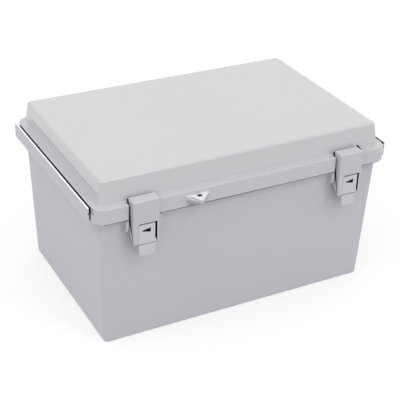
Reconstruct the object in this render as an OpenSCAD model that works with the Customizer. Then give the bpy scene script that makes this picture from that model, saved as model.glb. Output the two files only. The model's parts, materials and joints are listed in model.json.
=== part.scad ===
// Hinged polycarbonate enclosure: a deep base, a raised cover hinged at the rear, and two
// rocker latches at the front, each with a sliding lock.
// Millimetres, +Z up, latches towards -Y. Origin: centre of the base's bottom face.

/* [Base] */
// Outer width of the base at its bottom
base_w = 275.5; // [240:0.5:330]
// Outer depth of the base at its bottom
base_d = 177; // [150:0.5:230]
// Height of the seam between base and cover
seam_z = 140; // [100:1:200]
// Wall thickness of the base
wall = 3; // [2.4:0.1:3.4]
// Floor thickness of the base
floor_t = 3.5; // [2.5:0.1:5]
// Outward lean of the base walls for each millimetre of height
draft = 0.0342; // [0.02:0.0001:0.045]
// Radius of the upright corners of the base
corner_r = 4; // [3.5:0.5:13]
// Rounding along the bottom edge of the base
foot_r = 1.5; // [0.5:0.1:2.5]

/* [Flange] */
// Overhang of the flange beyond the base walls at the sides
flange_side = 7.5; // [7:0.1:10]
// Overhang of the flange beyond the base walls at the front and rear
flange_front = 6.7; // [6.5:0.1:9]
// Depth of the base's skirt below the seam
skirt_h = 9.4; // [7:0.1:12]
// Wall thickness of the skirt and of the cover's rim
skirt_t = 2.5; // [2:0.1:3]
// Thickness of the shelf between the base wall and the skirt
shelf_t = 3; // [2:0.1:4]
// Corner radius of the flange, seen from above
flange_r = 13; // [10:0.5:14]
// Thickness of the upstanding fin along each side of the base
fin_t = 1.5; // [1:0.1:2]
// Distance of the cover's rim inside the flange's sides, beside the fins
rim_set = 1.2; // [0.8:0.1:1.5]
// Width of the gutter between each fin and the cover's rim
fin_gap = 1.8; // [0.8:0.1:2.2]
// Depth of the gutter below the seam
gutter_h = 7; // [3.5:0.1:8]
// Depth of the slot ahead of each fin, below the seam
slot_drop = 2.2; // [1:0.1:2.5]
// Distance of each fin's front end behind the flange's front face
fin_start = 9.2; // [8:0.1:14]
// Distance of each fin's rear end ahead of the flange's rear face
fin_end = 7.5; // [6:0.1:14]
// Length of the cover's wide front corners, from the flange's front face
corner_len = 5.8; // [5:0.1:7]

/* [Seal] */
// Height of the sealing bead on top of the base wall
bead_h = 1.4; // [1:0.1:1.8]
// Width of the sealing bead
bead_w = 1.4; // [1:0.1:1.6]
// Width of the gasket strip in the cover's groove
gasket_w = 2.6; // [2.4:0.1:2.8]
// Thickness of each wall of the gasket groove
leg_t = 1.5; // [1.2:0.1:1.6]
// Depth by which the inner groove wall drops into the base
leg_drop = 1; // [0.5:0.1:2]
// Gap between the inner groove wall and the base wall
leg_gap = 0.5; // [0.4:0.1:0.8]

/* [Cover] */
// Height of the cover's rim above the seam
rim_h = 5.4; // [4.8:0.1:7]
// Thickness of the rim's top plate
rim_t = 2.4; // [2:0.1:2.6]
// Rear corner radius of the cover's rim, seen from above
rim_r = 13; // [10:0.5:14]
// Height of the raised panel above the rim
lid_h = 21.9; // [20:0.1:40]
// Wall thickness of the raised panel's top
lid_t = 3; // [2:0.1:4]
// Distance of the panel's foot inside the base wall's outer face, front and rear
lid_inset = 1.5; // [1:0.1:2]
// The same distance at the sides
lid_inset_side = 0.7; // [0.5:0.1:2]
// Inward lean of the panel's side walls over their full height
lid_lean_side = 1.6; // [0.4:0.1:2]
// Inward lean of the panel's front and rear walls over their full height
lid_lean_front = 3; // [1:0.1:4]
// Height of the lower tier of the panel's side walls
tier_h = 9.6; // [6:0.1:12]
// How much the lower tier of the panel's sides leans in
tier_lean = 0.3; // [0.1:0.1:0.4]
// Radius of the raised panel's corners and top edge
lid_r = 3; // [2:0.5:5]

/* [Hinge] */
// Distance of each hinge's middle inside the base's side
hinge_in = 42.75; // [35:0.25:60]
// Length of each hinge pin
hinge_len = 50; // [40:1:60]
// Length of the cover's knuckle in the middle of each hinge
cover_knuckle = 25; // [20:1:30]
// Radius of the knuckles
knuckle_r = 5; // [4:0.1:5.5]
// Distance of the hinge axis behind the flange
hinge_off = 6; // [5.8:0.1:8]
// Radius of the hinge pins
hinge_pin_r = 2; // [1.5:0.1:2.5]
// Gap between neighbouring knuckles
knuckle_gap = 0.5; // [0.3:0.1:1]
// Angle at which the cover comes to rest on its stops
open_angle = 110; // [95:1:130]

/* [Latch] */
// Distance of each latch's middle inside the base's side
latch_in = 33.35; // [28:0.05:60]
// Width of a latch
latch_w = 24.5; // [22:0.1:30]
// Height of a latch
latch_h = 42.3; // [40:0.1:48]
// Distance of the latch's front face ahead of the flange
latch_stand = 5.65; // [5:0.05:7]
// Distance from the latch's front face to its back edge
latch_depth = 11.65; // [11:0.05:12.2]
// Rise of the latch above the cover's rim
latch_rise = 4.3; // [3:0.1:6]
// Thickness of the latch's front plate
plate_t = 2.5; // [2:0.1:3]
// Thickness of the latch's side cheeks
cheek_t = 2.2; // [1.8:0.1:2.5]
// Thickness of the latch's head
head_t = 2.7; // [2:0.1:3.5]
// Rounding between the latch's front face and the top of its head
nose_r = 1.2; // [0.8:0.1:3.5]
// Length by which the hook hangs below the head
hook_h = 3.2; // [2:0.1:4]
// Thickness of the hook
hook_t = 1.8; // [1.2:0.1:2.2]
// Depth of the latch pin below the seam
pin_drop = 18.5; // [17:0.1:20]
// Radius of the latch pin
latch_pin_r = 1.5; // [1:0.1:1.6]
// Radius of the ears around the latch pin
ear_r = 4.2; // [4:0.1:4.4]
// Thickness of an ear
ear_t = 2.4; // [2:0.1:5]
// Gap between an ear and the latch
ear_gap = 1.8; // [0.6:0.1:2]
// Radial running clearance of the pins
pin_clear = 0.05; // [0.03:0.01:0.08]

/* [Lock slide] */
// Distance of the window from the latch's left edge
window_x = 4.8; // [4.6:0.1:5.4]
// Width of the window
window_w = 17.4; // [17:0.1:17.4]
// Height of the window
window_h = 19.9; // [17:0.1:24]
// Travel of the lock slide
slide_travel = 1.8; // [1:0.1:1.8]
// Width of the slot that is left beside the slide
slot_w = 2; // [2:0.1:3.2]
// Thickness of the slide's rear flange
slide_t = 1.5; // [1.2:0.1:2]
// Running gap around the slide
slide_gap = 0.1; // [0.05:0.05:0.2]
// Length of the slide's tongue below the latch
tongue_l = 12.1; // [9:0.1:15]
// Depth of the pocket for the pointer in the slide's face
pointer_pocket = 1.5; // [1:0.1:2]
// Distance of the pointer's face behind the slide's face
pointer_set = 0.2; // [0:0.05:0.5]
// Distance of the tongue's face behind the latch's face
tongue_set = 0.8; // [0.4:0.1:1.2]
// Thickness of the tongue
tongue_t = 2; // [1.6:0.1:2.4]

/* [Seal tab] */
// Distance of the seal tab's hole from the left latch's middle
tab_off = 51.4; // [40:0.1:90]
// Reach of the seal tab ahead of the flange
tab_reach = 12; // [10:0.1:14]
// Radius of the hole through the seal tab
tab_hole_r = 2.25; // [1.5:0.05:2.5]
// Thickness of the cover's half of the tab
tab_top_t = 1.5; // [1.2:0.1:3]
// Thickness of the base's half of the tab
tab_low_t = 3; // [2:0.1:4]

/* [Fixings] */
// Distance of the panel bosses inside the base's sides
boss_in_x = 17.75; // [16:0.25:40]
// Distance of the panel bosses inside the base's front and rear
boss_in_y = 18.5; // [16.5:0.25:30]
// Height of the panel bosses above the floor
boss_h = 10; // [8.5:0.5:20]
// Radius of the panel bosses
boss_r = 5.5; // [5:0.1:7]
// Outer radius of the threaded inserts
insert_r = 3; // [2.5:0.1:3.5]
// Radius of the thread's core in the inserts
thread_r = 1.65; // [1.2:0.05:2]
// Length of the threaded inserts
insert_l = 8; // [5:0.5:8]
// Radius of the screw holes under the base
foot_hole_r = 1.6; // [1.2:0.1:2]
// Depth of the screw holes under the base
foot_hole_l = 11; // [8:0.5:14]
// Radius of the corner posts around the screw holes
post_r = 5; // [4:0.1:6]
// Distance of the corner posts inside the base's outer faces
post_in = 10; // [9:0.5:14]

/* [Hidden] */

$fn = 64;
// Facets of the blended shells
shell_fn = 48;
// Thickness of the sections that a blended shell is stretched over
eps = 0.01;
// Overlap of joined solids, and overrun of cuts
over = 1;

// Half sizes of the base wall's outer face at the seam
seam_hw = base_w / 2 + draft * seam_z;
seam_hd = base_d / 2 + draft * seam_z;
// Half sizes and corner radius of the wall's centre line at the seam
mid_hw = seam_hw - wall / 2;
mid_hd = seam_hd - wall / 2;
mid_r = corner_r - wall / 2;
// Half sizes of the flange and of the cover's rim between the fins
flange_hw = seam_hw + flange_side;
flange_hd = seam_hd + flange_front;
rim_hw = flange_hw - rim_set;
fin_in = rim_hw + fin_gap;
fin_out = fin_in + fin_t;
fin_l = 2 * flange_hd - fin_start - fin_end;
// Heights
skirt_z = seam_z - skirt_h;
rim_z = seam_z + rim_h;
lid_z = rim_z + lid_h;
groove_z = rim_z - rim_t;
gutter_z = seam_z - gutter_h;
// Offsets of the groove's faces from the wall's centre line
groove_in = -(wall / 2 + leg_gap);
groove_out = groove_in + gasket_w;
bead_in = groove_in + (gasket_w - bead_w) / 2;
leg_in = groove_in - leg_t;
hollow_r = 2;
// Half sizes of the raised panel at its foot
foot_hw = seam_hw - lid_inset_side;
foot_hd = seam_hd - lid_inset;
// Latch places
latch_x = base_w / 2 - latch_in;
latch_y = -(flange_hd + latch_stand);
latch_back = latch_y + latch_depth;
latch_top = rim_z + latch_rise;
latch_bot = latch_top - latch_h;
latch_side = latch_w / 2;
pin_y = -(flange_hd - ear_r);
pin_z = seam_z - pin_drop;
pin_wall = base_d / 2 + draft * pin_z;
eye_r = -pin_y - pin_wall - 0.4;
notch_hw = latch_side + ear_gap;
notch_clear = 0.6;
notch_back = latch_back + notch_clear;
// Lock slide places, sideways from the latch's middle
win_l = -latch_side + window_x;
win_r = win_l + window_w;
win_z = latch_bot + window_h;
slide_back = latch_y + plate_t + slide_gap;
// Hinge places
hinge_x = base_w / 2 - hinge_in;
hinge_y = flange_hd + hinge_off;
base_knuckle = (hinge_len - cover_knuckle) / 2 - knuckle_gap;
// Seal tab: its root along the flange and its tip, sideways from its hole
tab_x = tab_off - latch_x;
tab_left = -11.8;
tab_right = 11.2;
tab_tip_x = -1.6;
tab_tip_r = 1.6;
tab_hole_y = -(flange_hd + 3.1);
// Spacing of the panel bosses and of the corner posts
boss_dx = base_w - 2 * boss_in_x;
boss_dy = base_d - 2 * boss_in_y;
post_dx = base_w - 2 * post_in;
post_dy = base_d - 2 * post_in;

// Corner radius of a band at an offset from the wall's centre line
function band_r(offset) = max(mid_r + offset, 1);

// Rectangle with round corners, from its half sizes
module rounded(hw, hd, r) {
    square([2 * (hw - r), 2 * hd], center = true);
    square([2 * hw, 2 * (hd - r)], center = true);
    for (x = [-1, 1], y = [-1, 1])
        translate([x * (hw - r), y * (hd - r)])
            circle(r);
}

// Thin section of a shell at height z
module section(hw, hd, r, z) {
    translate([0, 0, z])
        linear_extrude(eps)
            rounded(hw, hd, r, $fn = shell_fn);
}

// Closed band that follows the base wall, between two offsets from its centre line
module band(z, h, inside, outside) {
    translate([0, 0, z])
        linear_extrude(h)
            difference() {
                rounded(mid_hw + outside, mid_hd + outside, band_r(outside));
                rounded(mid_hw + inside, mid_hd + inside, band_r(inside));
            }
}

// Extrudes a profile drawn in (y, z) along X, from x
module along_x(x, length) {
    translate([x, 0, 0])
        rotate([90, 0, 90])
            linear_extrude(length)
                children();
}

// Puts its child at both latches
module at_latches() {
    for (s = [-1, 1])
        translate([s * latch_x, 0, 0])
            children();
}

// Puts its child at both hinges
module at_hinges() {
    for (s = [-1, 1])
        translate([s * hinge_x, 0, 0])
            children();
}

// Puts its child at the four corners of a rectangle
module at_corners(dx, dy) {
    for (x = [-dx / 2, dx / 2], y = [-dy / 2, dy / 2])
        translate([x, y, 0])
            children();
}

// Outer shell of the base: walls that lean outwards over a rounded bottom edge
module tub_outer() {
    hull() {
        for (a = [0 : 22.5 : 90]) {
            z = foot_r * (1 - cos(a));
            inset = foot_r * (1 - sin(a));
            section(base_w / 2 + draft * z - inset, base_d / 2 + draft * z - inset,
                corner_r - inset, z);
        }
        section(seam_hw, seam_hd, corner_r, seam_z - eps);
    }
}

// Hollow of the base
module tub_inner() {
    inner_r = max(corner_r - wall, 1.5);
    hull() {
        section(base_w / 2 - wall, base_d / 2 - wall, inner_r, floor_t);
        section(seam_hw - wall + draft * over, seam_hd - wall + draft * over,
            inner_r, seam_z + over);
    }
}

// Gap in the flange that a latch stands in
module notch(z, h) {
    translate([-notch_hw, -flange_hd - over, z])
        cube([2 * notch_hw, notch_back + flange_hd + over, h]);
}

// Flange of the base: a shelf with a skirt hanging from its edge
module base_flange() {
    difference() {
        translate([0, 0, skirt_z])
            linear_extrude(skirt_h)
                rounded(flange_hw, flange_hd, flange_r);
        translate([0, 0, skirt_z - over])
            linear_extrude(skirt_h - shelf_t + over)
                rounded(flange_hw - skirt_t, flange_hd - skirt_t, flange_r - skirt_t);
        at_latches()
            notch(skirt_z - over, skirt_h + 2 * over);
    }
}

// Upstanding fin along each side of the flange, on a foot that joins it to the skirt
module fins() {
    for (s = [0, 1])
        mirror([s, 0, 0])
            translate([0, fin_start - flange_hd, skirt_z]) {
                translate([fin_in, 0, 0])
                    cube([fin_t, fin_l, rim_z - skirt_z]);
                translate([flange_hw - skirt_t, 0, 0])
                    cube([fin_out - flange_hw + skirt_t, fin_l, gutter_z - skirt_z]);
            }
}

// Gutter between each fin and the rim, and the slot ahead of it
module gutters() {
    slot_l = fin_start - corner_len;
    for (s = [0, 1])
        mirror([s, 0, 0])
            translate([rim_hw, -flange_hd, 0]) {
                translate([0, fin_start, gutter_z])
                    cube([fin_gap, fin_l, rim_z - gutter_z + over]);
                translate([-over, corner_len, seam_z - slot_drop])
                    cube([over + fin_gap + fin_t + over, slot_l, slot_drop + rim_h + over]);
            }
}

// Side view of an ear: round below the pin, flush with the flange above it
module ear_profile() {
    root = -(pin_wall - wall / 2);
    translate([pin_y, pin_z])
        circle(ear_r);
    translate([pin_y, pin_z - ear_r])
        square([root - pin_y, 2 * ear_r]);
    translate([-flange_hd, pin_z])
        square([root + flange_hd, skirt_z + over - pin_z]);
}

// Pair of ears beside one latch
module ears() {
    along_x(-notch_hw - ear_t, ear_t)
        ear_profile();
    along_x(notch_hw, ear_t)
        ear_profile();
}

// Side view of the base's knuckle: arm, eye and the pad that stops the open cover
module base_knuckle_profile() {
    pad_start = 0.3;
    pad_w = 4.2;
    stop_clear = 0.1;
    translate([hinge_y, seam_z]) {
        circle(knuckle_r);
        translate([-hinge_off - over, -knuckle_r])
            square([hinge_off + over, knuckle_r]);
        rotate(90 - open_angle)
            translate([pad_start, 0])
                square([pad_w, hinge_off - stop_clear]);
    }
}

// Side view of the cover's knuckle and its arm
module cover_knuckle_profile() {
    translate([hinge_y, seam_z]) {
        circle(knuckle_r);
        translate([-hinge_off - over, 0])
            square([hinge_off + over, knuckle_r]);
    }
}

// Pair of base knuckles of one hinge
module base_knuckles() {
    along_x(-hinge_len / 2, base_knuckle)
        base_knuckle_profile();
    along_x(hinge_len / 2 - base_knuckle, base_knuckle)
        base_knuckle_profile();
}

// Rod along X through a point given in (y, z)
module rod(y, z, r, length) {
    translate([-length / 2, y, z])
        rotate([0, 90, 0])
            cylinder(r = r, h = length);
}

// Seal tab from above: a straight right edge and a hollow left one that meet in a round tip
module tab_plan() {
    root_y = -flange_hd;
    tip_y = root_y - tab_reach + tab_tip_r;
    translate([tab_x, 0]) {
        polygon([
            [tab_left, root_y + over],
            [tab_left, root_y - 0.9],
            [tab_left + 4, root_y - 2.3],
            [tab_left + 5.6, root_y - 5],
            [tab_left + 7.2, root_y - 8],
            [tab_tip_x - tab_tip_r, tip_y],
            [tab_tip_x + 0.8 * tab_tip_r, tip_y - 0.6 * tab_tip_r],
            [tab_right, root_y],
            [tab_right, root_y + over]
        ]);
        translate([tab_tip_x, tip_y])
            circle(tab_tip_r);
    }
}

// Cover's half of the seal tab
module tab_top() {
    translate([0, 0, seam_z])
        linear_extrude(tab_top_t)
            tab_plan($fn = 32);
}

// Base's half of the seal tab, drawn down to a foot on the skirt
module tab_low() {
    foot_left = -7;
    foot_right = 6.3;
    hull() {
        translate([0, 0, seam_z - tab_low_t])
            linear_extrude(tab_low_t)
                tab_plan($fn = 32);
        translate([tab_x + foot_left, -flange_hd, skirt_z])
            cube([foot_right - foot_left, over, over]);
    }
}

// Hole through both halves of the seal tab
module tab_hole() {
    translate([tab_x, tab_hole_y, skirt_z])
        cylinder(r = tab_hole_r, h = skirt_h + rim_h);
}

module base_box() {
    color("#d3d3d6") {
        difference() {
            union() {
                tub_outer();
                base_flange();
                fins();
                band(seam_z - over, bead_h + over, bead_in, bead_in + bead_w);
                at_latches()
                    ears();
                at_hinges()
                    base_knuckles();
                tab_low();
            }
            tub_inner();
            gutters();
            tab_hole();
            at_latches()
                rod(pin_y, pin_z, latch_pin_r, 2 * (notch_hw + ear_t + over));
            at_hinges()
                rod(hinge_y, seam_z, hinge_pin_r, hinge_len + 2 * over);
            at_corners(post_dx, post_dy)
                translate([0, 0, -over])
                    cylinder(r = foot_hole_r, h = foot_hole_l + over);
        }
        difference() {
            at_corners(boss_dx, boss_dy)
                translate([0, 0, floor_t - over])
                    cylinder(r = boss_r, h = boss_h + over);
            at_corners(boss_dx, boss_dy)
                translate([0, 0, floor_t + boss_h - insert_l])
                    cylinder(r = insert_r, h = insert_l + over);
        }
        difference() {
            intersection() {
                at_corners(post_dx, post_dy)
                    translate([0, 0, floor_t - over])
                        cylinder(r = post_r, h = foot_hole_l + over);
                tub_outer();
            }
            at_corners(post_dx, post_dy)
                translate([0, 0, -over])
                    cylinder(r = foot_hole_r, h = foot_hole_l + over);
        }
    }
}

// Copies of a corner piece at the four corner centres of a rounded rectangle
module round_corners(hw, hd, r, z) {
    at_corners(2 * (hw - r), 2 * (hd - r))
        translate([0, 0, z])
            children();
}

// Raised panel of the cover: leaning front, two-tier sides, corners and top edge of one radius
module lid_outer() {
    lean = lid_lean_front / lid_h;
    ball_h = lid_h - lid_r;
    hull() {
        round_corners(foot_hw, foot_hd + lean * over, lid_r, rim_z - over)
            cylinder(r1 = lid_r, r2 = lid_r / 2, h = over / 2, $fn = shell_fn);
        round_corners(foot_hw - tier_lean, foot_hd - lean * tier_h - tier_lean / 2, lid_r,
            rim_z + tier_h)
            cylinder(r1 = lid_r, r2 = lid_r / 2, h = over, $fn = shell_fn);
        round_corners(foot_hw - lid_lean_side, foot_hd - lean * ball_h, lid_r, rim_z + ball_h)
            sphere(lid_r, $fn = shell_fn);
    }
}

// Hollow of the cover
module lid_inner() {
    drop = leg_drop + over;
    hull() {
        round_corners(mid_hw + leg_in, mid_hd + leg_in, hollow_r, seam_z - drop)
            cylinder(r = hollow_r, h = rim_h + drop, $fn = shell_fn);
        round_corners(mid_hw + leg_in - lid_lean_side, mid_hd + leg_in - lid_lean_front, hollow_r,
            lid_z - lid_t - over)
            cylinder(r1 = hollow_r / 2, r2 = hollow_r, h = over, $fn = shell_fn);
    }
}

// Rim of the cover from above: wide front corners, then narrower between the fins
module rim_plan() {
    intersection() {
        rounded(flange_hw, flange_hd, flange_r);
        translate([-flange_hw, -flange_hd])
            square([2 * flange_hw, corner_len]);
    }
    rounded(rim_hw, flange_hd, rim_r);
}

module cover() {
    color("#dcdce0")
        difference() {
            union() {
                difference() {
                    translate([0, 0, seam_z])
                        linear_extrude(rim_h)
                            rim_plan();
                    translate([0, 0, seam_z - over])
                        linear_extrude(rim_h - rim_t + over)
                            rounded(rim_hw - skirt_t, flange_hd - skirt_t, rim_r - skirt_t);
                }
                band(seam_z - leg_drop, leg_drop + rim_h - rim_t + over, leg_in - over,
                    groove_in);
                band(seam_z, rim_h - rim_t + over, groove_out, groove_out + leg_t);
                lid_outer();
                at_hinges()
                    along_x(-cover_knuckle / 2, cover_knuckle)
                        cover_knuckle_profile();
                tab_top();
            }
            lid_inner();
            tab_hole();
            at_latches()
                notch(seam_z - over, rim_h + 2 * over);
            at_hinges()
                rod(hinge_y, seam_z, hinge_pin_r + pin_clear, cover_knuckle + 2 * over);
        }
}

module cover_gasket() {
    color("#2b2b2d")
        band(seam_z + bead_h, groove_z - seam_z - bead_h, groove_in, groove_out);
}

module hinge_pin(x) {
    color("#b9bcc0")
        translate([x, 0, 0])
            rod(hinge_y, seam_z, hinge_pin_r, hinge_len);
}

module latch_pin(x) {
    color("#b9bcc0")
        translate([x, 0, 0])
            rod(pin_y, pin_z, latch_pin_r, 2 * (notch_hw + ear_t));
}

// Side view of the latch: tall front face, rounded head, and cheeks cut back below the eye
module latch_profile() {
    back_r = 1.5;
    slant_y = latch_y + 7.4;
    slant_z = latch_bot + 6;
    polygon([
        [latch_y, latch_bot + 0.4],
        [latch_y, latch_top - nose_r],
        [latch_y + nose_r, latch_top - nose_r],
        [latch_y + nose_r, latch_top],
        [latch_back - back_r, latch_top],
        [latch_back - back_r, latch_top - back_r],
        [latch_back, latch_top - back_r],
        [latch_back, pin_z],
        [pin_y, pin_z - eye_r],
        [slant_y, slant_z],
        [latch_y + 0.6, latch_bot]
    ]);
    translate([latch_y + nose_r, latch_top - nose_r])
        circle(nose_r);
    translate([latch_back - back_r, latch_top - back_r])
        circle(back_r);
    translate([pin_y, pin_z])
        circle(eye_r);
}

// Bar that keeps the lock slide against the latch's front plate
module keeper(z) {
    bar_h = 2.5;
    bar_t = 1.5;
    translate([-latch_side + over, slide_back + slide_t + slide_gap, z])
        cube([latch_w - 2 * over, bar_t, bar_h]);
}

module latch(x) {
    color("#d6d6d9")
        translate([x, 0, 0])
            difference() {
                union() {
                    difference() {
                        along_x(-latch_side, latch_w)
                            latch_profile();
                        translate([-latch_side + cheek_t, latch_y + plate_t, latch_bot - over])
                            cube([latch_w - 2 * cheek_t, latch_depth,
                                latch_h - head_t + over]);
                    }
                    translate([-latch_side, latch_back - hook_t, latch_top - head_t - hook_h])
                        cube([latch_w, hook_t, head_t + hook_h - 2 * over]);
                    keeper(latch_bot + 7.2);
                    keeper(latch_bot + 16.6);
                }
                translate([win_l, latch_y - over, latch_bot - over])
                    cube([window_w, plate_t + over, window_h + over]);
                rod(pin_y, pin_z, latch_pin_r + pin_clear, latch_w + 2 * over);
            }
}

// Face outline of the tongue, in (x, z): narrower and rounded at its end
module tongue_outline() {
    top = latch_bot - 1;
    tip_r = 2;
    left = win_l - 0.1;
    right = win_r - 1.2;
    polygon([
        [left, top],
        [right, top],
        [right - 0.4, latch_bot - tongue_l + tip_r],
        [right - 0.4 - tip_r, latch_bot - tongue_l],
        [left + 1.4 + tip_r, latch_bot - tongue_l],
        [left + 1.4, latch_bot - tongue_l + tip_r]
    ]);
    for (x = [left + 1.4 + tip_r, right - 0.4 - tip_r])
        translate([x, latch_bot - tongue_l + tip_r])
            circle(tip_r);
}

// Wedge-shaped outline of the pointer, in (x, z), pointing to the slide's locking side
module wedge_outline() {
    point_x = win_l + 3.8;
    point_r = 0.6;
    wide_x = win_l + 11.2;
    z = latch_bot + 13;
    polygon([
        [point_x, z - point_r],
        [wide_x, z - 2.2],
        [wide_x, z + 2.1],
        [point_x, z + point_r]
    ]);
    translate([point_x, z])
        circle(point_r);
}

// Extrudes an outline drawn in (x, z) towards +Y, from y
module along_y(y, length) {
    translate([0, y + length, 0])
        rotate([90, 0, 0])
            linear_extrude(length)
                children();
}

module lock_slide(x) {
    lap = 2.2;
    top_lap = 2;
    flange_l = -latch_side + cheek_t + 0.4;
    flange_r_x = latch_side - cheek_t - slide_gap - slide_travel;
    color("#dadadd")
        translate([x, 0, 0])
            difference() {
                union() {
                    translate([win_l + slide_gap, latch_y, latch_bot + slide_gap])
                        cube([window_w - slot_w - slide_gap, plate_t + 2 * slide_gap,
                            window_h - 3 * slide_gap]);
                    translate([flange_l, slide_back, latch_bot - lap])
                        cube([flange_r_x - flange_l, slide_t, window_h + lap + top_lap]);
                    along_y(latch_y + tongue_set, tongue_t)
                        tongue_outline();
                }
                along_y(latch_y - over, pointer_pocket + over)
                    wedge_outline();
            }
}

module lock_pointer(x) {
    color("#161617")
        translate([x, 0, 0])
            along_y(latch_y + pointer_set, pointer_pocket - pointer_set)
                wedge_outline();
}

module panel_inserts() {
    color("#c9a14a")
        difference() {
            at_corners(boss_dx, boss_dy)
                translate([0, 0, floor_t + boss_h - insert_l])
                    cylinder(r = insert_r, h = insert_l);
            at_corners(boss_dx, boss_dy)
                translate([0, 0, floor_t + boss_h - insert_l - over])
                    cylinder(r = thread_r, h = insert_l + 2 * over);
        }
}

base_box();
cover();
cover_gasket();
hinge_pin(-hinge_x);  // hinge_pin_left
hinge_pin(hinge_x);  // hinge_pin_right
latch(-latch_x);  // latch_left
latch(latch_x);  // latch_right
latch_pin(-latch_x);  // latch_pin_left
latch_pin(latch_x);  // latch_pin_right
lock_slide(-latch_x);  // lock_slide_left
lock_slide(latch_x);  // lock_slide_right
lock_pointer(-latch_x);  // lock_pointer_left
lock_pointer(latch_x);  // lock_pointer_right
panel_inserts();
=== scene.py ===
"""Hinged plastic enclosure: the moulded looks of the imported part, its finishes, and a plain studio."""
import json
import math

import bmesh
import bpy
import numpy as np
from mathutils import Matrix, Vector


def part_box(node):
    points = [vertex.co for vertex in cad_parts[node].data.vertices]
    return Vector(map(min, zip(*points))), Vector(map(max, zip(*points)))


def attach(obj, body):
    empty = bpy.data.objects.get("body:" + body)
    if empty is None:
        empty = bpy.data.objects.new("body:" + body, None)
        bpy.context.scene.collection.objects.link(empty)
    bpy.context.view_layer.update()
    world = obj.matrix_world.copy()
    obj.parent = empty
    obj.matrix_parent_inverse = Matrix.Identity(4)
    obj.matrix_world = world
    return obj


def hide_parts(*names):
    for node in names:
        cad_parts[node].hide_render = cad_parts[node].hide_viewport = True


MM = 0.001
ACROSS, UP = 0, 2           # axes
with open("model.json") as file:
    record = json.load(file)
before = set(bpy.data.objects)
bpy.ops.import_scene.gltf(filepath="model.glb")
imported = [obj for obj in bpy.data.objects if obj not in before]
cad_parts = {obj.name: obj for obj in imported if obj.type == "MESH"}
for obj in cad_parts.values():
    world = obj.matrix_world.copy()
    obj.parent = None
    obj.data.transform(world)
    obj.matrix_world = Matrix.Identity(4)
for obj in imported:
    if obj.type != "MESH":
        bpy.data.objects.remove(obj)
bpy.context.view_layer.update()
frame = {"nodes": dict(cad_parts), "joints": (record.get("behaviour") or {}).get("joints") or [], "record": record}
PARTING = frame["joints"][0]["pos_m"][UP]    # height of the plane where cover and base meet
TIER_RISE = 15                               # mm from there up to the crease of the panel

# ---------------------------------------------------------------- finishes


def node_group(name, inputs, outputs):
    """Empty shader node group with its sockets; returns it with its input and output nodes."""
    group = bpy.data.node_groups.new(name, "ShaderNodeTree")
    for socket, kind, value in inputs:
        made = group.interface.new_socket(socket, in_out="INPUT", socket_type=kind)
        made.default_value = value
    for socket, kind in outputs:
        group.interface.new_socket(socket, in_out="OUTPUT", socket_type=kind)
    return group, group.nodes.new("NodeGroupInput"), group.nodes.new("NodeGroupOutput")


def add(tree, kind, **values):
    """New node in a tree; settings that name an input socket set its value, others set a property."""
    node = tree.nodes.new(kind)
    for key, value in values.items():
        if key in node.inputs:
            node.inputs[key].default_value = value
        else:
            setattr(node, key, value)
    return node


def moulding_tone():
    """Slow drift of tone that a large moulding has: colour x (1 + drift x (noise - 1/2))."""
    group, given, out = node_group(
        "moulding_tone",
        [("Color", "NodeSocketColor", (0.6, 0.6, 0.6, 1)), ("Scale", "NodeSocketFloat", 9.0),
         ("Drift", "NodeSocketFloat", 0.04)],
        [("Color", "NodeSocketColor"), ("Cloud", "NodeSocketFloat")])
    place = add(group, "ShaderNodeTexCoord")
    noise = add(group, "ShaderNodeTexNoise", Detail=3.0, Roughness=0.55)
    centred = add(group, "ShaderNodeMath", operation="SUBTRACT")
    centred.inputs[1].default_value = 0.5
    scaled = add(group, "ShaderNodeMath", operation="MULTIPLY_ADD")
    scaled.inputs[2].default_value = 1.0
    shade = add(group, "ShaderNodeVectorMath", operation="SCALE")
    link = group.links.new
    link(place.outputs["Object"], noise.inputs["Vector"])
    link(given.outputs["Scale"], noise.inputs["Scale"])
    link(noise.outputs["Fac"], centred.inputs[0])
    link(centred.outputs[0], scaled.inputs[0])
    link(given.outputs["Drift"], scaled.inputs[1])
    link(given.outputs["Color"], shade.inputs[0])
    link(scaled.outputs[0], shade.inputs["Scale"])
    link(shade.outputs[0], out.inputs["Color"])
    link(noise.outputs["Fac"], out.inputs["Cloud"])
    return group


def mould_grain():
    """Fine spark-eroded grain of the mould: a tight noise and a wider one, added."""
    group, given, out = node_group(
        "mould_grain",
        [("Scale", "NodeSocketFloat", 900.0), ("Ripple", "NodeSocketFloat", 0.3)],
        [("Height", "NodeSocketFloat")])
    place = add(group, "ShaderNodeTexCoord")
    fine = add(group, "ShaderNodeTexNoise", Detail=2.0)
    wide = add(group, "ShaderNodeTexNoise", Scale=60.0, Detail=1.0)
    both = add(group, "ShaderNodeMath", operation="MULTIPLY_ADD")
    link = group.links.new
    link(place.outputs["Object"], fine.inputs["Vector"])
    link(place.outputs["Object"], wide.inputs["Vector"])
    link(given.outputs["Scale"], fine.inputs["Scale"])
    link(wide.outputs["Fac"], both.inputs[0])
    link(given.outputs["Ripple"], both.inputs[1])
    link(fine.outputs["Fac"], both.inputs[2])
    link(both.outputs[0], out.inputs["Height"])
    return group


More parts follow.
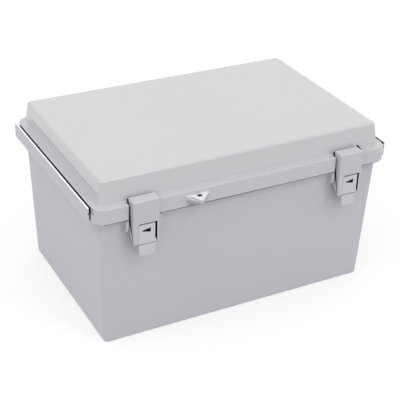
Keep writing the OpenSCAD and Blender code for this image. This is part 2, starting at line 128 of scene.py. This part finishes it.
def drawn_lines():
    """Fine lines along X, as on a drawn rod: noise stretched along the rod."""
    group, given, out = node_group(
        "drawn_lines", [("Stretch", "NodeSocketFloat", 12.0)], [("Lines", "NodeSocketFloat")])
    place = add(group, "ShaderNodeTexCoord")
    split = add(group, "ShaderNodeSeparateXYZ")
    along = add(group, "ShaderNodeMath", operation="DIVIDE")
    join = add(group, "ShaderNodeCombineXYZ")
    noise = add(group, "ShaderNodeTexNoise", Scale=2500.0, Detail=3.0)
    link = group.links.new
    link(place.outputs["Object"], split.inputs[0])
    link(split.outputs["X"], along.inputs[0])
    link(given.outputs["Stretch"], along.inputs[1])
    link(along.outputs[0], join.inputs["X"])
    link(split.outputs["Y"], join.inputs["Y"])
    link(split.outputs["Z"], join.inputs["Z"])
    link(join.outputs[0], noise.inputs["Vector"])
    link(noise.outputs["Fac"], out.inputs["Lines"])
    return group


def box_mask():
    """1 inside a box given by its centre and half-size, 0 outside, with a soft step."""
    group, given, out = node_group(
        "box_mask",
        [("Centre", "NodeSocketVector", (0, 0, 0)), ("Half", "NodeSocketVector", (1, 1, 1)),
         ("Soft", "NodeSocketFloat", 0.0001)],
        [("Mask", "NodeSocketFloat")])
    place = add(group, "ShaderNodeTexCoord")
    offset = add(group, "ShaderNodeVectorMath", operation="SUBTRACT")
    size = add(group, "ShaderNodeVectorMath", operation="ABSOLUTE")
    depth = add(group, "ShaderNodeVectorMath", operation="SUBTRACT")
    split = add(group, "ShaderNodeSeparateXYZ")
    flat = add(group, "ShaderNodeMath", operation="MINIMUM")
    least = add(group, "ShaderNodeMath", operation="MINIMUM")
    step = add(group, "ShaderNodeMath", operation="DIVIDE", use_clamp=True)
    link = group.links.new
    link(place.outputs["Object"], offset.inputs[0])
    link(given.outputs["Centre"], offset.inputs[1])
    link(offset.outputs[0], size.inputs[0])
    link(given.outputs["Half"], depth.inputs[0])
    link(size.outputs[0], depth.inputs[1])
    link(depth.outputs[0], split.inputs[0])
    link(split.outputs["X"], flat.inputs[0])
    link(split.outputs["Y"], flat.inputs[1])
    link(flat.outputs[0], least.inputs[0])
    link(split.outputs["Z"], least.inputs[1])
    link(least.outputs[0], step.inputs[0])
    link(given.outputs["Soft"], step.inputs[1])
    link(step.outputs[0], out.inputs["Mask"])
    return group


TONE = moulding_tone()
GRAIN = mould_grain()
LINES = drawn_lines()
INSIDE = box_mask()


def group_node(tree, group, **values):
    """Places a shader node group in a material with its own values."""
    node = tree.nodes.new("ShaderNodeGroup")
    node.node_tree = group
    for key, value in values.items():
        node.inputs[key].default_value = value
    return node


def new_finish(name, **shader_values):
    """Empty material with a Principled shader whose constant sockets are set."""
    finish = bpy.data.materials.new(name)
    finish.use_nodes = True
    shader = finish.node_tree.nodes["Principled BSDF"]
    for key, value in shader_values.items():
        shader.inputs[key.replace("_", " ")].default_value = value
    return finish, finish.node_tree, shader


def rough_range(tree, source, low, high):
    """Maps a 0-1 mask to a range of roughness."""
    node = add(tree, "ShaderNodeMapRange")
    node.inputs["To Min"].default_value = low
    node.inputs["To Max"].default_value = high
    tree.links.new(source, node.inputs["Value"])
    return node.outputs["Result"]


def paint_light_and_shade(tree, colour, painted_marks):
    """Painted light and shade: colour multiplied inside boxes, darker for painted shade and lighter for painted
    highlights; a mark is (low corner, high corner, factor, soft), in mm.
    """
    for low, high, factor, soft in painted_marks:
        low, high = np.array(low) * MM, np.array(high) * MM
        inside = group_node(tree, INSIDE, Centre=tuple((low + high) / 2),
                            Half=tuple((high - low) / 2), Soft=soft * MM)
        gain = add(tree, "ShaderNodeMapRange")
        gain.inputs["To Min"].default_value = 1.0
        gain.inputs["To Max"].default_value = factor
        scaled = add(tree, "ShaderNodeVectorMath", operation="SCALE")
        tree.links.new(inside.outputs["Mask"], gain.inputs["Value"])
        tree.links.new(colour, scaled.inputs[0])
        tree.links.new(gain.outputs["Result"], scaled.inputs["Scale"])
        colour = scaled.outputs[0]
    return colour


def satin_plastic(name, colour, painted_marks=(), drift=0.04, rough=(0.25, 0.33), specular=0.5,
                  coat=0.0):
    """Satin moulded polycarbonate: slow tone drift, fine grain in the normal, painted shade in recesses and gaps,
    and painted highlights.
    """
    grain_scale, grain_depth = 900.0, 0.03 * MM
    finish, tree, shader = new_finish(name, IOR=1.5, Specular_IOR_Level=specular,
                                      Coat_Weight=coat, Coat_Roughness=0.12)
    tone = group_node(tree, TONE, Color=(*colour, 1), Drift=drift)
    texture = group_node(tree, GRAIN, Scale=grain_scale)
    bump = add(tree, "ShaderNodeBump", Strength=0.12, Distance=grain_depth)
    link = tree.links.new
    link(paint_light_and_shade(tree, tone.outputs["Color"], painted_marks), shader.inputs["Base Color"])
    link(rough_range(tree, tone.outputs["Cloud"], *rough), shader.inputs["Roughness"])
    link(texture.outputs["Height"], bump.inputs["Height"])
    link(bump.outputs["Normal"], shader.inputs["Normal"])
    return finish


def foam_skin(name, colour):
    """Poured foam: matt, with the dimples of its skin."""
    finish, tree, shader = new_finish(name, Roughness=0.85)
    tone = group_node(tree, TONE, Color=(*colour, 1), Scale=160.0, Drift=0.5)
    texture = group_node(tree, GRAIN, Scale=1400.0)
    bump = add(tree, "ShaderNodeBump", Strength=0.6, Distance=0.0002)
    tree.links.new(tone.outputs["Color"], shader.inputs["Base Color"])
    tree.links.new(texture.outputs["Height"], bump.inputs["Height"])
    tree.links.new(bump.outputs["Normal"], shader.inputs["Normal"])
    return finish


def drawn_steel(name, colour):
    """Drawn stainless rod: fine lines along its length."""
    finish, tree, shader = new_finish(name, Metallic=1.0)
    tone = group_node(tree, TONE, Color=(*colour, 1), Scale=120.0, Drift=0.1)
    lines = group_node(tree, LINES)
    bump = add(tree, "ShaderNodeBump", Strength=0.25, Distance=0.00005)
    tree.links.new(tone.outputs["Color"], shader.inputs["Base Color"])
    tree.links.new(rough_range(tree, lines.outputs["Lines"], 0.2, 0.42), shader.inputs["Roughness"])
    tree.links.new(lines.outputs["Lines"], bump.inputs["Height"])
    tree.links.new(bump.outputs["Normal"], shader.inputs["Normal"])
    return finish


def turned_brass(name, colour):
    """Turned brass with a slightly uneven tone."""
    finish, tree, shader = new_finish(name, Metallic=1.0)
    tone = group_node(tree, TONE, Color=(*colour, 1), Scale=300.0, Drift=0.2)
    tree.links.new(tone.outputs["Color"], shader.inputs["Base Color"])
    tree.links.new(rough_range(tree, tone.outputs["Cloud"], 0.22, 0.4), shader.inputs["Roughness"])
    return finish


def both_sides(low, high, factor, soft):
    """The same painted mark on the right side and, mirrored, on the left."""
    return [(low, high, factor, soft),
            ((-high[0], low[1], low[2]), (-low[0], high[1], high[2]), factor, soft)]


def at_latches(low, high, factor, soft):
    """The same painted shade at both latches; the box is measured from each latch's lower front middle."""
    painted_marks = []
    for side in ("left", "right"):
        latch_low, latch_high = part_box(f"latch_{side}")
        foot = np.array([(latch_low[0] + latch_high[0]) / 2, latch_low[1], latch_low[2]]) / MM
        painted_marks.append((foot + low, foot + high, factor, soft))
    return painted_marks


# Heights and places of the mouldings, in mm
SEAM = PARTING / MM
SKIRT, RIM, CREASE = SEAM - 9.4, SEAM + 5.4, SEAM + TIER_RISE
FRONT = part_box("cover_gasket")[0][1] / MM - 7.6     # front face of the flange
RIM_SIDE, FIN_SIDE = 148.84, 150.64                 # sides of the gutter beside each fin
FIN_START, FIN_END = -90.8, 100
FIN_HIGHLIGHT_DEPTH = 0.35                                      # depth of the painted highlight along a fin's top
HOLE = ((-55.4, -105.5, SKIRT), (-50.6, -100.7, SEAM + 1.1))

# Corners of painted marks that only have to reach past the part, in mm
PAST_ENDS, PAST_FINS, PAST_FRONT, PAST_TAB = 200, 153, -101, -113

# Painted shade: the soft edge of a painted line, and how dark the painted gaps and lines are
CRISP = 0.1
GAP_SHADE, SHADE_LINE = 0.02, 0.15

base_painted_light = [
    # painted shade line under the front of the skirt
    ((-PAST_ENDS, PAST_FRONT, SKIRT - 0.6), (PAST_ENDS, FRONT + 0.6, SKIRT + 0.65), SHADE_LINE, CRISP),
    # painted shade in the hole and on the flank of the seal tab
    (*HOLE, SHADE_LINE, CRISP),
    ((-66, PAST_TAB, SKIRT), (-53, FRONT - 0.4, SEAM - 0.4), 0.84, 1.5),
    # painted shade in the gutter beside each fin and in the slot ahead of it, and a painted highlight on the fin's
    # top
    *both_sides((RIM_SIDE - 0.3, FIN_START, SEAM - 0.5), (FIN_SIDE + 0.3, FIN_END, RIM - FIN_HIGHLIGHT_DEPTH),
                GAP_SHADE, CRISP),
    *both_sides((RIM_SIDE - 0.2, FRONT + 5.6, SEAM - 0.8), (PAST_FINS, FIN_START + 0.1, SEAM + 1),
                0.05, CRISP),
    *both_sides((FIN_SIDE - 0.2, FIN_START - 1, RIM - FIN_HIGHLIGHT_DEPTH - 0.3),
                (PAST_FINS, FIN_END, RIM + 1), 1.6, CRISP),
]
cover_painted_light = [
    # painted shade on the side of the rim in the gutter, and along the crease of the panel's sides
    *both_sides((RIM_SIDE - 0.25, FIN_START, SEAM - 1), (RIM_SIDE + 0.3, FIN_END, RIM - 0.25),
                GAP_SHADE, CRISP),
    *both_sides((139, -88, CREASE - 0.6), (143, 90, CREASE + 0.3), 0.66, 0.2),
    # painted shade in the seam along the front
    ((-PAST_ENDS, PAST_FRONT, SEAM - 0.1), (PAST_ENDS, FRONT + 0.3, SEAM + 0.3), 0.8, CRISP),
    # painted highlight on the upper face of the seal tab, and painted shade in its hole
    ((-66, PAST_TAB, SEAM + 1.2), (-40, FRONT - 0.2, SEAM + 2), 1.4, CRISP),
    (*HOLE, SHADE_LINE, CRISP),
]
# painted shade on the sides of the window, and a painted shade line along its top
latch_painted_shade = [
    *at_latches((-8.0, 0.32, -1), (10.5, 6, 20.4), 0.03, CRISP),
    *at_latches((-7.6, -1, 19.6), (10.1, 1, 20.25), 0.2, CRISP),
]
# painted shade on the slide beside the window's sides, and a painted shade line along its top
slide_painted_shade = [
    *at_latches((-9.0, 0.5, -0.6), (11.5, 8, 24), 0.04, CRISP),
    *at_latches((-9.0, -1, 19.0), (11.5, 1, 21), 0.2, CRISP),
]

FINISH = {
    "base_plastic": satin_plastic("base_plastic", (0.612, 0.622, 0.664), base_painted_light,
                                  specular=0.04),
    "cover_plastic": satin_plastic("cover_plastic", (0.582, 0.580, 0.606), cover_painted_light, coat=0.5),
    "latch_plastic": satin_plastic("latch_plastic", (0.575, 0.580, 0.606), latch_painted_shade),
    "slide_plastic": satin_plastic("slide_plastic", (0.635, 0.637, 0.662), slide_painted_shade),
    # the near-black wedge on each slide is painted shade as a part: a dark piece set where a deep opening shows
    # black
    "pointer_black": satin_plastic("pointer_black", (0.006, 0.006, 0.007), rough=(0.5, 0.6),
                                   specular=0.08),
    "gasket_foam": foam_skin("gasket_foam", (0.03, 0.03, 0.032)),
    "pin_steel": drawn_steel("pin_steel", (0.62, 0.62, 0.63)),
    "insert_brass": turned_brass("insert_brass", (0.72, 0.53, 0.25)),
}

# ---------------------------------------------------------------- moulded pieces

SLOT_OF = {part["node"]: part["material_slot"] for part in frame["record"]["subparts"]}
BODY_OF = {node: body for body, nodes in frame["record"]["behaviour"]["bodies"].items()
           for node in nodes}


def dress(piece, node):
    """Gives a piece the finish, slot and body of the CAD node that it stands for."""
    slot = SLOT_OF[node]
    piece.data.materials.clear()
    piece.data.materials.append(FINISH[slot])
    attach(piece, BODY_OF[node])
    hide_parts(node)


NEAR = 0.05 * MM            # two places closer than this are the same
TURN = math.radians(35)     # turn of the surface above which an edge is sharp
FLAT = math.radians(0.6)    # turn below which two faces are one
WELD = 0.03 * MM            # distance below which two corners are one
WIDEST = 0.9 * MM           # width of the widest rounding
SLIM, SOFT, HAIRLINE = 0.2 * MM, 0.35 * MM, 0.1 * MM
TIER = PARTING + TIER_RISE * MM


def lies_at(edge, axis, place):
    """True where both ends of an edge have that coordinate."""
    return all(abs(end.co[axis] - place) < NEAR for end in edge.verts)


def soft_edged(node, name, width_of, steps=2, creases=()):
    """Merged copy of a CAD node with every sharp edge rounded, as a moulding's are.

    Corners closer than WELD become one, and flat neighbours one face, but not on the parting
    plane, whose face runs round the opening. An edge is sharp where it turns by more than TURN,
    and width_of gives the width of its rounding. Edges at a crease height turn less, but stay
    crisp in shading."""
    mesh = frame["nodes"][node].data.copy()
    shape = bmesh.new()
    shape.from_mesh(mesh)
    bmesh.ops.remove_doubles(shape, verts=shape.verts, dist=WELD)
    mergeable = [edge for edge in shape.edges if not lies_at(edge, UP, PARTING)]
    bmesh.ops.dissolve_limit(shape, angle_limit=FLAT, verts=shape.verts, edges=mergeable)
    weight = shape.edges.layers.float.new("bevel_weight_edge")
    for face in shape.faces:
        face.smooth = True
    for edge in shape.edges:
        sharp = edge.calc_face_angle(math.pi) > TURN
        edge.smooth = not (sharp or any(lies_at(edge, UP, height) for height in creases))
        edge[weight] = width_of(edge) / WIDEST if sharp else 0.0
    shape.to_mesh(mesh)
    shape.free()
    piece = bpy.data.objects.new(name, mesh)
    bpy.context.scene.collection.objects.link(piece)
    bevel = piece.modifiers.new("rounding", "BEVEL")
    bevel.width = WIDEST
    bevel.segments = steps
    bevel.limit_method = "WEIGHT"
    bevel.use_clamp_overlap = False
    flats = piece.modifiers.new("flat_faces", "WEIGHTED_NORMAL")
    flats.mode = "FACE_AREA"
    flats.keep_sharp = True
    dress(piece, node)
    return piece


def shell_edge(edge):
    """Rounding of the base and the cover: a hairline on the parting plane, soft elsewhere."""
    return HAIRLINE if lies_at(edge, UP, PARTING) else SOFT


def latch_edge(node):
    """Rounding of a latch: wide where its cheeks meet its front and its head, slim elsewhere."""
    low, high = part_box(node)

    def width(edge):
        side = lies_at(edge, ACROSS, low[ACROSS]) or lies_at(edge, ACROSS, high[ACROSS])
        shown = any(face.normal.z - face.normal.y > 0.0 for face in edge.link_faces
                    if abs(face.normal.x) < 0.5)
        return WIDEST if side and shown else SLIM

    return width


soft_edged("base_box", "base_moulding", shell_edge)
soft_edged("cover", "cover_moulding", shell_edge, creases=(TIER,))
for side in ("left", "right"):
    latch, slide = f"latch_{side}", f"lock_slide_{side}"
    soft_edged(latch, latch + "_moulding", latch_edge(latch), 4)
    soft_edged(slide, slide + "_moulding", lambda edge: SLIM)
# The small pieces need no rounding: their CAD nodes only get their finish
for node, cad in frame["nodes"].items():
    if SLOT_OF[node] in ("pointer_black", "gasket_foam", "pin_steel", "insert_brass"):
        cad.data.materials.clear()
        cad.data.materials.append(FINISH[SLOT_OF[node]])

# ---------------------------------------------------------------- studio


def seen_rays(tree, path):
    """1 for the rays that show a background: from the camera, mirrored, or through glass."""
    mirrored = add(tree, "ShaderNodeMath", operation="MAXIMUM")
    seen = add(tree, "ShaderNodeMath", operation="MAXIMUM")
    tree.links.new(path.outputs["Is Glossy Ray"], mirrored.inputs[0])
    tree.links.new(path.outputs["Is Transmission Ray"], mirrored.inputs[1])
    tree.links.new(path.outputs["Is Camera Ray"], seen.inputs[0])
    tree.links.new(mirrored.outputs[0], seen.inputs[1])
    return seen.outputs[0]


def floor_plane(size, colour, lift):
    """Floor of a plain colour that keeps the shadow; seen rays get lift, so that it reads white."""
    finish, tree, shader = new_finish("studio_floor", Roughness=0.9)
    shader.inputs["Base Color"].default_value = (*colour, 1)
    shader.inputs["Emission Color"].default_value = (1, 1, 1, 1)
    path = add(tree, "ShaderNodeLightPath")
    strength = add(tree, "ShaderNodeMath", operation="MULTIPLY")
    strength.inputs[1].default_value = lift
    tree.links.new(seen_rays(tree, path), strength.inputs[0])
    tree.links.new(strength.outputs[0], shader.inputs["Emission Strength"])
    mesh = bpy.data.meshes.new("floor")
    mesh.from_pydata([(-size, -size, 0), (size, -size, 0), (size, size, 0), (-size, size, 0)],
                     [], [(0, 1, 2, 3)])
    floor = bpy.data.objects.new("floor", mesh)
    floor.data.materials.append(finish)
    bpy.context.scene.collection.objects.link(floor)


def studio_world(ambient):
    """White surroundings for the eye; plain grey fill of the given strength for the light."""
    world = bpy.data.worlds.new("studio")
    bpy.context.scene.world = world
    world.use_nodes = True
    tree = world.node_tree
    shown = tree.nodes["Background"]
    shown.inputs["Color"].default_value = (1, 1, 1, 1)
    fill = add(tree, "ShaderNodeBackground", Strength=ambient)
    fill.inputs["Color"].default_value = (1, 1, 1, 1)
    path = add(tree, "ShaderNodeLightPath")
    mix = add(tree, "ShaderNodeMixShader")
    link = tree.links.new
    link(seen_rays(tree, path), mix.inputs["Fac"])
    link(fill.outputs[0], mix.inputs[1])
    link(shown.outputs[0], mix.inputs[2])
    link(mix.outputs[0], tree.nodes["World Output"].inputs["Surface"])


def softbox(name, azimuth, elevation, distance, size, power, target=(0, 0, 0.08)):
    """Square area lamp at an azimuth and elevation in degrees, facing the target from a distance."""
    a, e = math.radians(azimuth), math.radians(elevation)
    back = np.array([math.sin(a) * math.cos(e), -math.cos(a) * math.cos(e), math.sin(e)])
    lamp = bpy.data.lights.new(name, "AREA")
    lamp.shape = "SQUARE"
    lamp.size = size
    lamp.energy = power
    body = bpy.data.objects.new(name, lamp)
    body.location = np.array(target) + distance * back
    body.rotation_euler = (math.radians(90) - e, 0, a)
    bpy.context.scene.collection.objects.link(body)


floor_plane(8.0, (0.45, 0.45, 0.45), 0.56)
studio_world(0.92)
softbox("front", 8, 30, 1.8, 1.0, 2.2)
softbox("left", -85, 50, 1.8, 0.8, 4.2)
softbox("edge_key", 20, 50, 1.6, 0.22, 1.8)

camera = bpy.data.cameras.new("view")
camera.lens, camera.sensor_width = 94.866, 36.0     # mm
stand = bpy.data.objects.new("view", camera)
stand.location = (-0.431758, -0.800537, 0.585964)
stand.rotation_euler = (1.0553418, -0.0282472, -0.4819824)
bpy.context.scene.collection.objects.link(stand)
bpy.context.scene.camera = stand
bpy.context.scene.view_settings.view_transform = "Standard"
